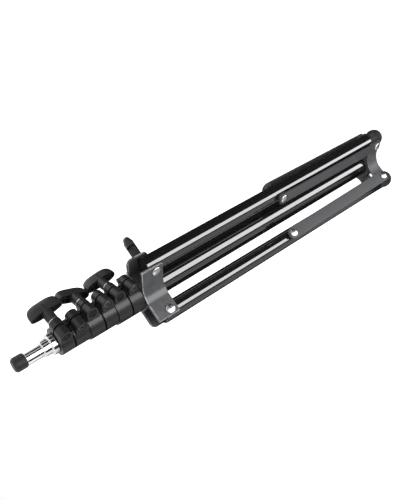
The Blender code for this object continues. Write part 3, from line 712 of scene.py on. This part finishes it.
bright_plate = bright_finish()
yoke_rivet = through_rivet(YOKE_HALF, head_pivot)
for_each_leg(yoke_rivet, "yoke_rivet_{}", bright_plate, "bright_steel", "yoke")
leg_rivet = through_rivet(brace_far, elbow)
for_each_leg(leg_rivet, "leg_rivet_{}", bright_plate, "bright_steel", "leg_{}")
for side, label in ((-1, "right"), (1, "left")):
    start = SLOT_HALF + CLEARANCE
    half = rivet_head(brace_far + CLEARANCE)[::-1] + [(RIVET_SHANK, start), (0, start)]
    short = turned("short", half, 48, along((0, side, 0), foot_pivot))
    softened(short, RIVET_EDGE, 2)
    for_each_leg(short, "bracket_rivet_{}_" + label, bright_plate, "bright_steel", "column")

# Collars: glass-filled nylon mouldings, one on each tube's upper end. The lower half is drawn
# tight on its tube by the fixing screw, the upper half closes on the next tube by the T-handle.
COLLAR_SLIT = 0.0022
COLLAR_SPLIT = 0.0024
LUG_HEAD_END = 0.0138
LUG_HANDLE_END = 0.0102
LUG_ROUND = 0.0074
BOLT_SHANK = 0.0027
BOLT_HEAD = 0.0046
HEAD_POCKET = 0.0030
HEAD_DEEP = 0.0025
NUT_ROUND = 0.0052
NUT_POCKET = 0.0034
COLLAR_EDGE = 0.0005
STEEL_EDGE = 0.0002
NUT_EDGE = 0.0003
WASHER_RADIUS = 0.0070
WASHER_THICK = 0.0011
BOLT_PAST_WASHER = 0.0092
HEAD_BEVEL = (0.0008, 0.0004)
CROWN_DISH = 0.0002
SOCKET_RADIUS = 0.0024
SOCKET_SHORT = 0.0008
EAR_LIFT = 0.0001
COLLAR_BLACK = (0.009, 0.009, 0.010)
COLLAR_GREY = (0.019, 0.019, 0.021)
BLACKENED = (0.030, 0.030, 0.033)
BLACKENED_WORN = (0.085, 0.083, 0.080)
ZINC_GREY = (0.080, 0.080, 0.084)
ZINC_PALE = (0.210, 0.210, 0.216)


def blackened_finish():
    """Blackened steel: dark oil finish, browner and brighter where worn."""
    black = Finish("blackened_steel", Metallic=1.0)
    worn = black.window(black.noise(600, 4.0), 0.48, 0.72)
    black.feed("Base Color", black.blend(worn, BLACKENED, BLACKENED_WORN))
    black.feed("Roughness", 0.34 + worn * 0.14)
    black.grain(worn, 0.00002, 0.3)
    return black


def lug(reach, low, high):
    """A collar's ear, round about its bolt, out along +X with its handle's side at +Y."""
    middle, half, root = (low + high) / 2, (high - low) / 2, 0.3 * reach
    outline = [(root, low), (reach, low)]
    outline += bend((reach, middle), half, math.radians(-75), math.radians(75), 24)
    outline += [(reach, high), (root, high)]
    upright = Matrix(((1, 0, 0, 0), (0, 0, -1, 0), (0, 1, 0, 0), (0, 0, 0, 1)))
    return drawn("tool", outline, -LUG_HANDLE_END, LUG_HEAD_END, upright)


def slab(low, high):
    """A block between two opposite corners, for a saw's cut or a rib."""
    outline = [(low[0], low[1]), (high[0], low[1]), (high[0], high[1]), (low[0], high[1])]
    return drawn("tool", outline, low[2], high[2])


def bolt_line(reach, height):
    """A placement on an ear's bolt, its own +Z toward the T-handle's side."""
    return Matrix.Translation((reach, 0, height)) @ Matrix.Rotation(math.radians(-90), 4, "X")


def collar(radius, slit, tall, reach, heights, lower, upper):
    """A collar about Z, its ears over +X at the heights of its screw and its bolt."""
    item = bar(radius, 0, tall, steps=128)
    for height in heights:
        # The lowest ear starts a hair above the collar's foot, clear of its plane
        low = max(height - LUG_ROUND, EAR_LIFT)
        worked(item, lug(reach, low, height + LUG_ROUND), "UNION")
    bore = [
        (0, THROUGH),
        (upper, THROUGH),
        (upper, slit),
        (lower, slit),
        (lower, -THROUGH),
        (0, -THROUGH),
    ]
    worked(item, turned("tool", bore, 128))
    half = COLLAR_SPLIT / 2
    worked(item, slab((upper / 2, -half, -THROUGH), (THROUGH, half, THROUGH)))
    half = COLLAR_SLIT / 2
    worked(item, slab((-0.55 * radius, -THROUGH, slit - half), (THROUGH, THROUGH, slit + half)))
    head_low = HEAD_POCKET - LUG_HEAD_END
    for height in heights:
        line = bolt_line(reach, height)
        worked(item, bar(BOLT_SHANK + CLEARANCE, -THROUGH, THROUGH, line, 32))
        worked(item, bar(BOLT_HEAD + CLEARANCE, -THROUGH, head_low, line, 48))
    nut_low = LUG_HANDLE_END - NUT_POCKET
    worked(item, bar(NUT_ROUND + CLEARANCE, nut_low, THROUGH, bolt_line(reach, heights[0]), 6))
    washer_line = bolt_line(reach, heights[1])
    worked(item, bar(WASHER_RADIUS + CLEARANCE, LUG_HANDLE_END, THROUGH, washer_line, 64))
    return softened(item, COLLAR_EDGE, 3, 30)


def bolt_outline(end, dish):
    """A round-headed bolt's outline; dish is how far its crown is dished in."""
    seat = HEAD_POCKET - LUG_HEAD_END - CLEARANCE
    face = seat - HEAD_DEEP
    return [
        (0, end),
        (BOLT_SHANK, end),
        (BOLT_SHANK, seat),
        (BOLT_HEAD, seat),
        (BOLT_HEAD, face + HEAD_BEVEL[1]),
        (BOLT_HEAD - HEAD_BEVEL[0], face),
        (0.5 * BOLT_HEAD, face),
        (0.4 * BOLT_HEAD, face + dish),
        (0, face + dish),
    ]


def zinc_finish():
    """Zinc-plated steel gone grey: clouded, with paler rubbed patches."""
    zinc = Finish("grey_zinc", Metallic=1.0)
    cloud = zinc.noise(420, 3.0)
    rubbed = zinc.window(zinc.noise(900, 4.0), 0.50, 0.72)
    zinc.feed("Base Color", zinc.blend(cloud * 0.5 + rubbed * 0.5, ZINC_GREY, ZINC_PALE))
    zinc.feed("Roughness", 0.30 + cloud * 0.12)
    zinc.grain(rubbed, 0.00002, 0.3)
    return zinc


blackened = blackened_finish()
zinc_plate = zinc_finish()
collar_plastic = moulded_finish("collar_plastic", COLLAR_BLACK, COLLAR_GREY, 0.26)
tubes = ("base_tube", "riser_1", "riser_2", "riser_3")
column_radii = [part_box(node)[1].x for node in tubes]
knob_seats = {}
collar_bodies = {"base": "column", "middle": "riser_1", "top": "riser_2"}
collar_sizes = {"base": (0.0204, 0.0175), "middle": (0.0187, 0.0177), "top": (0.0170, 0.0200)}
bolt_heights = {"base": (0.0074, 0.0275), "middle": (0.0080, 0.0280), "top": (0.0092, 0.0290)}
for index, label in enumerate(("base", "middle", "top")):
    radius, slit = collar_sizes[label]
    body = collar_bodies[label]
    low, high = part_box(f"{label}_collar")
    pivot = Vector(joints[f"{label}_knob_turn"]["pos_m"])
    reach = pivot.xy.length
    place = Matrix.Translation((0, 0, low.z))
    place = place @ Matrix.Rotation(math.atan2(pivot.y, pivot.x), 4, "Z")
    lower = column_radii[index] + CLEARANCE
    upper = column_radii[index + 1] + CLEARANCE
    heights = bolt_heights[label]
    item = collar(radius, slit, high.z - low.z, reach, heights, lower, upper)
    item.name = f"{label}_collar_moulded"
    item.data.transform(place)
    fitted(item, collar_plastic, "matt_plastic", body, f"{label}_collar")

    washer_low = LUG_HANDLE_END + CLEARANCE
    washer_high = washer_low + WASHER_THICK
    line = place @ bolt_line(reach, heights[1])
    outline = bolt_outline(washer_high + BOLT_PAST_WASHER, CROWN_DISH)
    bolt = softened(turned(f"{label}_clamp_bolt_turned", outline, 48, line), STEEL_EDGE, 2)
    fitted(bolt, blackened, "dark_steel", body, f"{label}_clamp_bolt")
    washer_outline = ring_outline(WASHER_RADIUS, BOLT_SHANK + CLEARANCE, washer_low, washer_high)
    washer = turned(f"{label}_washer_pressed", washer_outline, 64, line)
    softened(washer, STEEL_EDGE, 2)
    fitted(washer, bright_plate, "bright_steel", body, f"{label}_washer")
    knob_seats[label] = line @ Matrix.Translation((0, 0, washer_high + CLEARANCE))

    line = place @ bolt_line(reach, heights[0])
    nut_low = LUG_HANDLE_END - NUT_POCKET + CLEARANCE
    nut_high = LUG_HANDLE_END - CLEARANCE
    screw = turned(f"{label}_fixing_screw_turned", bolt_outline(nut_high, 0.0), 48, line)
    socket_floor = HEAD_POCKET - LUG_HEAD_END - CLEARANCE - SOCKET_SHORT
    worked(screw, bar(SOCKET_RADIUS, -THROUGH, socket_floor, line, 6))
    softened(screw, STEEL_EDGE, 2)
    fitted(screw, zinc_plate, "bright_steel", body, f"{label}_fixing_screw")
    nut = bar(NUT_ROUND - CLEARANCE, nut_low, nut_high, line, 6)
    worked(nut, bar(BOLT_SHANK + CLEARANCE, -THROUGH, THROUGH, line, 32))
    nut.name = f"{label}_fixing_nut_forged"
    fitted(softened(nut, NUT_EDGE, 2), blackened, "dark_steel", body, f"{label}_fixing_nut")

# T-handles: hollow nylon crowns moulded over the clamp bolts' ends, nearly straight-sided with
# a long rounded back, and ribbed underneath. The yoke's lock has one too.
CROWN_LENGTH = 0.0200
CROWN_WIDTH = 0.0063
CROWN_RIM = 0.0142
CROWN_TOP = 0.0316
LOCK_CROWN_TOP = 0.0283
CROWN_HOLLOW = 0.0068
CROWN_WALL = 0.0017
BACK_CURVE = 3.6
PLAN_CURVE = 2.9
SECTION_CURVE = 2.7
CROWN_EDGE = 0.0005
RIBS = ((0.0108, 0.0044), (0.0146, 0.0034))
STEM_RADIUS = 0.0065
STEM_BEVEL = 0.0006
SOCKET_DEPTH = 0.0108
RIB_HALF = 0.0005
RIB_SUNK = 0.0022
SPINE_SUNK = 0.0016
SPINE_LONG = 0.0186
RIB_IN_ROOF = 0.0002
STEM_IN_ROOF = 0.0022
HANDLE_BLACK = (0.010, 0.010, 0.011)
HANDLE_GREY = (0.024, 0.024, 0.026)
handle_plastic = moulded_finish("handle_plastic", HANDLE_BLACK, HANDLE_GREY, 0.38)


def curved(share, power):
    """A full curve's height at a share of its half length: a higher power is squarer."""
    return max(0.0, 1 - abs(share) ** power) ** (1 / power)


def handle(top):
    """A T-handle's crown, long along X over its seat, as a row of cross-sections."""
    stations = [math.sin(math.radians(90) * step / 28) for step in range(-28, 29)]
    turns = [math.pi * step / 24 for step in range(25)]
    points, faces = [], []
    for share in stations:
        half_width = CROWN_WIDTH * curved(share, PLAN_CURVE)
        rise = (top - CROWN_RIM) * curved(share, BACK_CURVE)
        for turn in turns:
            across, up = math.cos(turn), math.sin(turn)
            y = half_width * math.copysign(abs(across) ** (2 / SECTION_CURVE), across)
            z = CROWN_RIM + rise * up ** (2 / SECTION_CURVE)
            points.append((share * CROWN_LENGTH, y, z))
    row = len(turns)
    for station in range(len(stations) - 1):
        first = station * row
        for step in range(row):
            after = (step + 1) % row
            faces.append((first + step, first + after, first + row + after, first + row + step))
    item = begun("handle", points, [], faces)
    closed()
    return item


def crown_plan(inset):
    """Plan of a crown, set in by an inset."""
    length, width = CROWN_LENGTH - inset, CROWN_WIDTH - inset
    turns = [math.tau * step / 96 for step in range(96)]
    power = 2 / PLAN_CURVE
    points = []
    for turn in turns:
        x = length * math.copysign(abs(math.cos(turn)) ** power, math.cos(turn))
        y = width * math.copysign(abs(math.sin(turn)) ** power, math.sin(turn))
        points.append((x, y))
    return points


def hollowed(item, screw_radius):
    """Hollows a crown from below, ribs it and puts it on its stem."""
    roof = CROWN_RIM + CROWN_HOLLOW
    top = roof + RIB_IN_ROOF
    worked(item, drawn("tool", crown_plan(CROWN_WALL), 0, roof))
    for across, half in RIBS:
        for x in (-across, across):
            rib = slab((x - RIB_HALF, -half, CROWN_RIM + RIB_SUNK), (x + RIB_HALF, half, top))
            worked(item, rib, "UNION")
    foot = CROWN_RIM + SPINE_SUNK
    worked(item, slab((-SPINE_LONG, -RIB_HALF, foot), (SPINE_LONG, RIB_HALF, top)), "UNION")
    stem = [
        (0, roof + STEM_IN_ROOF),
        (STEM_RADIUS, roof + STEM_IN_ROOF),
        (STEM_RADIUS, STEM_BEVEL),
        (STEM_RADIUS - STEM_BEVEL, 0),
        (0, 0),
    ]
    worked(item, turned("tool", stem, 64), "UNION")
    worked(item, bar(screw_radius, -THROUGH, SOCKET_DEPTH, steps=32))
    return softened(item, CROWN_EDGE, 3, 34)


for label, resting_turn in (("base", -8), ("middle", 19), ("top", -8)):
    seat = knob_seats[label] @ Matrix.Rotation(math.radians(90 + resting_turn), 4, "Z")
    item = hollowed(handle(CROWN_TOP), BOLT_SHANK + CLEARANCE)
    item.name = f"{label}_knob_moulded"
    item.data.transform(seat)
    fitted(item, handle_plastic, "matt_plastic", f"{label}_knob", f"{label}_knob")

# The yoke's lock: a blackened screw through the boss, turned by its own T-handle over a
# plated washer, whose tip presses on the base tube.
LOCK_SHANK = 0.0031
LOCK_TIP_RADIUS = 0.0019
LOCK_TIP_GAP = 0.0008
LOCK_TIP_LONG = 0.0016
washer_low = BOSS_END + CLEARANCE
washer_high = washer_low + WASHER_THICK
washer_outline = ring_outline(WASHER_RADIUS, LOCK_SHANK + CLEARANCE, washer_low, washer_high)
lock_washer = turned("yoke_washer_pressed", washer_outline, 64, lock_line)
softened(lock_washer, STEEL_EDGE, 2)
fitted(lock_washer, bright_plate, "bright_steel", "yoke", "yoke_washer")
tip = column_radii[0] + LOCK_TIP_GAP
lock_outline = [
    (0, washer_high + BOLT_PAST_WASHER),
    (LOCK_SHANK, washer_high + BOLT_PAST_WASHER),
    (LOCK_SHANK, tip + LOCK_TIP_LONG),
    (LOCK_TIP_RADIUS, tip),
    (0, tip),
]
lock_screw = turned("yoke_lock_screw_turned", lock_outline, 48, lock_line)
softened(lock_screw, STEEL_EDGE, 2)
fitted(lock_screw, blackened, "dark_steel", "yoke_lock", "yoke_lock_screw")
lock_handle = hollowed(handle(LOCK_CROWN_TOP), LOCK_SHANK + CLEARANCE)
lock_handle.name = "yoke_knob_moulded"
lock_seat = lock_line @ Matrix.Translation((0, 0, washer_high + CLEARANCE))
lock_handle.data.transform(lock_seat @ Matrix.Rotation(math.radians(-25), 4, "Z"))
fitted(lock_handle, handle_plastic, "matt_plastic", "yoke_lock", "yoke_knob")

# Spigot: one piece turned from steel bar and plated, its stem pressed in the last riser. Its
# threaded tip carries the cap.
FLANGE_RADIUS = 0.0127
FLANGE_HIGH = 0.0068
SHOULDER_RADIUS = 0.0096
SHOULDER_HIGH = 0.0092
STUD_RADIUS = 0.0080
STUD_HIGH = 0.0200
TIP_RADIUS = 0.0046
SPIGOT_EDGE = 0.0007
STUD_BRIGHT = (0.86, 0.86, 0.87)
low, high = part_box("spigot")
spigot_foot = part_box("riser_3")[1].z + CLEARANCE
shoulder_low = spigot_foot + FLANGE_HIGH
stud_low = shoulder_low + SHOULDER_HIGH
tip_low = stud_low + STUD_HIGH
stem = column_radii[3] - TUBE_WALL - CLEARANCE


def turned_steel_finish():
    """Bar turned on a lathe, then plated: fine rings round it."""
    steel = Finish("turned_steel", Metallic=1.0)
    rings = steel.noise(5200, 1.0, (0.004, 0.004, 1))
    prints = steel.window(steel.noise(240, 4.0), 0.52, 0.74)
    steel.feed("Base Color", steel.blend(prints * 0.5, STUD_BRIGHT, BRIGHT))
    steel.feed("Roughness", 0.09 + rings * 0.05 + prints * 0.05)
    steel.grain(rings, 0.00001, 0.5)
    return steel


spigot_outline = [
    (0, high.z),
    (TIP_RADIUS, high.z),
    (TIP_RADIUS, tip_low),
    (STUD_RADIUS, tip_low),
    (STUD_RADIUS, stud_low),
    (SHOULDER_RADIUS, stud_low),
    (SHOULDER_RADIUS, shoulder_low),
    (FLANGE_RADIUS, shoulder_low),
    (FLANGE_RADIUS, spigot_foot + CLEARANCE),
    (stem, spigot_foot + CLEARANCE),
    (stem, low.z),
    (0, low.z),
]
spigot = softened(turned("spigot_turned", spigot_outline), SPIGOT_EDGE, 3)
fitted(spigot, turned_steel_finish(), "bright_steel", "riser_3", "spigot")

# Thread cap: a small cap with grip ribs, moulded in the T-handles' black nylon and screwed down
# on the spigot's tip, whose thread it covers.
CAP_RADIUS = 0.0087
CAP_RIBS = 24
RIB_DEPTH = 0.0005
CAP_EDGE = 0.0003
CAP_BORE = 0.0103
SKIRT_RADIUS = CAP_RADIUS - 0.0004
SKIRT_HIGH = 0.0016
RIBS_LOW = 0.0008
RIBS_HIGH = 0.0022
CROWN_LOW = 0.0032
low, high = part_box("thread_cap")


def ribbed(radius, depth):
    """A circle with rounded grip ribs."""
    points = []
    steps = CAP_RIBS * 8
    for step in range(steps):
        turn = math.tau * step / steps
        wave = max(0.0, math.cos(turn * CAP_RIBS)) ** 0.5
        reach = radius - depth * (1 - wave)
        points.append((reach * math.cos(turn), reach * math.sin(turn)))
    return points


plan = ribbed(CAP_RADIUS, RIB_DEPTH)
cap = drawn("thread_cap_moulded", plan, low.z + RIBS_LOW, high.z - RIBS_HIGH)
crown = [
    (0, high.z),
    (CAP_RADIUS - 0.0020, high.z),
    (CAP_RADIUS - 0.0005, high.z - 0.0016),
    (CAP_RADIUS - 0.0003, high.z - CROWN_LOW),
    (0, high.z - CROWN_LOW),
]
worked(cap, bar(SKIRT_RADIUS, low.z, low.z + SKIRT_HIGH, steps=96), "UNION")
worked(cap, turned("tool", crown), "UNION")
worked(cap, bar(TIP_RADIUS + CLEARANCE, low.z - THROUGH, low.z + CAP_BORE))
softened(cap, CAP_EDGE, 2, 40)
fitted(cap, handle_plastic, "matt_plastic", "cap", "thread_cap")

# Studio: a plain pale floor under the feet, a surround that is white above and dim toward the
# ground, and soft upright lamps round the stand. The lamps reach below the floor, which neither
# mirrors nor shades, so that their stripes run the tubes' full length.
FLOOR_HALF = 6.0
FLOOR_NEAR = 0.82
FLOOR_FADE = (0.4, 1.6)
FLOOR_BELOW = 0.0002
FLOOR_GREY = (0.8, 0.8, 0.8, 1)
CARD_BLACK = (0.01, 0.01, 0.01, 1)
ROOM_LEVELS = ((0.35, 0.03), (0.385, 0.20), (0.41, 0.70), (0.50, 0.90))


def studio_floor():
    """A pale floor that reads as white to the camera and keeps the stand's shadow."""
    lowest = cad_box[0].z
    place = (0, 0, lowest - FLOOR_BELOW)
    bpy.ops.mesh.primitive_plane_add(size=2 * FLOOR_HALF, location=place)
    floor = bpy.context.object
    floor.name = "studio_floor"
    paint = Finish("floor_paint", Base_Color=FLOOR_GREY, Roughness=0.9, Emission_Strength=1.0)
    away = paint.node("ShaderNodeVectorMath", {"operation": "LENGTH"}, [paint.place], out="Value")
    level = FLOOR_NEAR + paint.window(away, *FLOOR_FADE) * (1 - FLOOR_NEAR)
    seen = paint.node("ShaderNodeLightPath", out="Is Camera Ray") * level
    paint.feed("Emission Color", seen)
    floor.data.materials.append(paint.material)
    floor.visible_glossy = False
    floor.visible_shadow = False


def surround():
    """White all round to the camera; to the stand and its gloss, white above and dim below."""
    world = bpy.data.worlds.new("surround")
    bpy.context.scene.world = world
    world.use_nodes = True
    tree = world.node_tree
    tree.nodes.clear()
    output = tree.nodes.new("ShaderNodeOutputWorld")
    mix = tree.nodes.new("ShaderNodeMixShader")
    seen = tree.nodes.new("ShaderNodeLightPath")
    white = tree.nodes.new("ShaderNodeBackground")
    white.inputs["Color"].default_value = (1, 1, 1, 1)
    room = tree.nodes.new("ShaderNodeBackground")
    direction = tree.nodes.new("ShaderNodeTexCoord")
    parts = tree.nodes.new("ShaderNodeSeparateXYZ")
    height = tree.nodes.new("ShaderNodeMapRange")
    height.inputs["From Min"].default_value = -1.0
    ramp = tree.nodes.new("ShaderNodeValToRGB").color_ramp
    while len(ramp.elements) < len(ROOM_LEVELS):
        ramp.elements.new(0.5)
    for stop, (place, level) in zip(ramp.elements, ROOM_LEVELS):
        stop.position = place
        stop.color = (level, level, level, 1)
    graded = tree.nodes["Color Ramp"]
    tree.links.new(direction.outputs["Generated"], parts.inputs[0])
    tree.links.new(parts.outputs["Z"], height.inputs["Value"])
    tree.links.new(height.outputs[0], graded.inputs[0])
    tree.links.new(graded.outputs["Color"], room.inputs["Color"])
    tree.links.new(seen.outputs["Is Camera Ray"], mix.inputs[0])
    tree.links.new(room.outputs[0], mix.inputs[1])
    tree.links.new(white.outputs[0], mix.inputs[2])
    tree.links.new(mix.outputs[0], output.inputs[0])


def lamp(name, azimuth, low, high, wide, radiance, reach):
    """An upright soft lamp facing the column, at a compass angle in the XY plane."""
    light = bpy.data.lights.new(name, "AREA")
    light.shape = "RECTANGLE"
    light.size = wide
    light.size_y = high - low
    light.energy = radiance * math.pi * wide * (high - low)
    item = bpy.data.objects.new(name, light)
    bpy.context.collection.objects.link(item)
    turn = math.radians(azimuth)
    item.location = (reach * math.cos(turn), reach * math.sin(turn), (low + high) / 2)
    facing = Vector((math.cos(turn), math.sin(turn), 0))
    item.rotation_mode = "QUATERNION"
    item.rotation_quaternion = facing.to_track_quat("Z", "Y")
    item.visible_camera = False


def flag(name, azimuth, wide, low=0.25, high=0.75, reach=0.9):
    """A black card by the spigot's height, seen only in gloss, as a dark line in the metal."""
    bpy.ops.mesh.primitive_plane_add(size=1)
    card = bpy.context.object
    card.name = name
    turn = math.radians(azimuth)
    facing = Vector((math.cos(turn), math.sin(turn), 0))
    place = Matrix.Translation(reach * facing + Vector((0, 0, (low + high) / 2)))
    place = place @ facing.to_track_quat("Z", "Y").to_matrix().to_4x4()
    card.data.transform(place @ Matrix.Diagonal((wide, high - low, 1, 1)))
    card.data.materials.append(card_black.material)
    card.visible_camera = card.visible_diffuse = card.visible_shadow = False


card_black = Finish("card_black", Base_Color=CARD_BLACK, Roughness=0.9)
studio_floor()
surround()
lamp("key_lamp", 308, low=-1.6, high=0.55, wide=0.40, radiance=5.0, reach=0.60)
lamp("left_panel", 249, low=-1.4, high=0.5, wide=1.32, radiance=0.45, reach=1.3)
lamp("far_left_panel", 214, low=-1.4, high=0.5, wide=0.50, radiance=0.25, reach=1.3)
lamp("upper_panel", 80, low=0.35, high=1.2, wide=1.2, radiance=1.0, reach=1.2)
flag("left_flag", 266, wide=0.48)
flag("front_flag", 342, wide=0.40)
flag("right_flag", 22, wide=0.44)

# Camera: beyond the spigot, with its place, lens and roll fitted to the tubes' edges, the rivets
# and the collars in the photograph.
CAMERA_PLACE = Vector((0.47114, -0.38489, 0.73637))
CAMERA_AIM = Vector((0.00553, 0.00657, 0.36866))
CAMERA_ROLL = math.radians(-119.84)
CAMERA_LENS = 38.83
CAMERA_SENSOR = 36.0
camera = bpy.data.objects.new("camera", bpy.data.cameras.new("camera"))
bpy.context.collection.objects.link(camera)
camera.data.lens = CAMERA_LENS
camera.data.sensor_width = CAMERA_SENSOR
camera.location = CAMERA_PLACE
camera.rotation_mode = "QUATERNION"
level = (CAMERA_AIM - CAMERA_PLACE).to_track_quat("-Z", "Y")
camera.rotation_quaternion = level @ Quaternion((0, 0, 1), CAMERA_ROLL)
bpy.context.scene.camera = camera
bpy.context.scene.view_settings.view_transform = "Standard"
